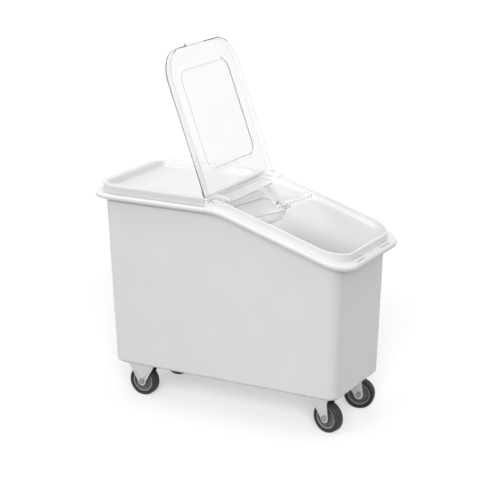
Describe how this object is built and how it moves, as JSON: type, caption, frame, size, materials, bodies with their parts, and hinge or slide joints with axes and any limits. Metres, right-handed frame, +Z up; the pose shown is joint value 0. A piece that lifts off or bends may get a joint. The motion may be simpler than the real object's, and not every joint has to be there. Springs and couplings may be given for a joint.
{
  "type": "rolling ingredient bin",
  "caption": "White slant-top bin for flour on swivel and fixed casters, with a hinged clear front lid, a recessed rear cover and a scoop in a rest under the lid.",
  "frame": {"origin": "on the floor under the middle of the rim", "axes": "+X towards the low front end, +Z up, +Y to the far side in the picture"},
  "size_m": [0.74, 0.356, 0.9452],
  "materials": {
    "white_bin": "smooth satin white polyethylene",
    "white_cover": "glossy white",
    "clear_plastic": "clear polished polycarbonate",
    "zinc_steel": "bright zinc plating",
    "core_plastic": "moulded grey",
    "tyre_rubber": "smooth dark grey rubber"
  },
  "bodies": {
    "bin": {"bin_body": "white_bin", "caster_bolts": "zinc_steel", "caster_nuts": "zinc_steel", "rear_near_fork": "zinc_steel", "rear_near_axle_bolt": "zinc_steel", "rear_near_axle_nut": "zinc_steel", "rear_near_axle_sleeve": "zinc_steel", "rear_far_fork": "zinc_steel", "rear_far_axle_bolt": "zinc_steel", "rear_far_axle_nut": "zinc_steel", "rear_far_axle_sleeve": "zinc_steel", "front_near_top_plate": "zinc_steel", "front_near_kingpin": "zinc_steel", "front_near_balls": "zinc_steel", "front_far_top_plate": "zinc_steel", "front_far_kingpin": "zinc_steel", "front_far_balls": "zinc_steel"},
    "top": {"rear_cover": "white_cover", "hinge_strip": "clear_plastic", "hinge_pins": "white_cover"},
    "lid": {"front_lid": "clear_plastic"},
    "scoop_piece": {"scoop": "clear_plastic"},
    "near_swivel": {"front_near_fork": "zinc_steel", "front_near_axle_bolt": "zinc_steel", "front_near_axle_nut": "zinc_steel", "front_near_axle_sleeve": "zinc_steel"},
    "far_swivel": {"front_far_fork": "zinc_steel", "front_far_axle_bolt": "zinc_steel", "front_far_axle_nut": "zinc_steel", "front_far_axle_sleeve": "zinc_steel"},
    "rear_near_wheel": {"rear_near_wheel_core": "core_plastic", "rear_near_tyre": "tyre_rubber"},
    "rear_far_wheel": {"rear_far_wheel_core": "core_plastic", "rear_far_tyre": "tyre_rubber"},
    "front_near_wheel": {"front_near_wheel_core": "core_plastic", "front_near_tyre": "tyre_rubber"},
    "front_far_wheel": {"front_far_wheel_core": "core_plastic", "front_far_tyre": "tyre_rubber"}
  },
  "joints": [
    {"name": "cover_lift", "type": "slide", "parent": "bin", "child": "top", "axis": [0, 0, 1], "range_m": [0, 0.15]},
    {"name": "lid_hinge", "type": "hinge", "parent": "top", "child": "lid", "pos_m": [-0.007, 0, 0.583], "axis": [0, -1, 0], "range_deg": [-127, 0]},
    {"name": "scoop_lift", "type": "slide", "parent": "top", "child": "scoop_piece", "axis": [0.2974, 0, 0.9548], "range_m": [0, 0.15]},
    {"name": "near_swivel_turn", "type": "hinge", "parent": "bin", "child": "near_swivel", "pos_m": [0.261, -0.087, 0.09], "axis": [0, 0, 1], "continuous": true},
    {"name": "far_swivel_turn", "type": "hinge", "parent": "bin", "child": "far_swivel", "pos_m": [0.261, 0.087, 0.09], "axis": [0, 0, 1], "continuous": true},
    {"name": "rear_near_wheel_roll", "type": "hinge", "parent": "bin", "child": "rear_near_wheel", "pos_m": [-0.259, -0.087, 0.04], "axis": [0, 1, 0], "continuous": true},
    {"name": "rear_far_wheel_roll", "type": "hinge", "parent": "bin", "child": "rear_far_wheel", "pos_m": [-0.259, 0.087, 0.04], "axis": [0, 1, 0], "continuous": true},
    {"name": "front_near_wheel_roll", "type": "hinge", "parent": "near_swivel", "child": "front_near_wheel", "pos_m": [0.28828, -0.0933, 0.04], "axis": [0.225, 0.9744, 0], "continuous": true},
    {"name": "front_far_wheel_roll", "type": "hinge", "parent": "far_swivel", "child": "front_far_wheel", "pos_m": [0.28805, 0.09425, 0.04], "axis": [-0.2588, 0.9659, 0], "continuous": true}
  ]
}
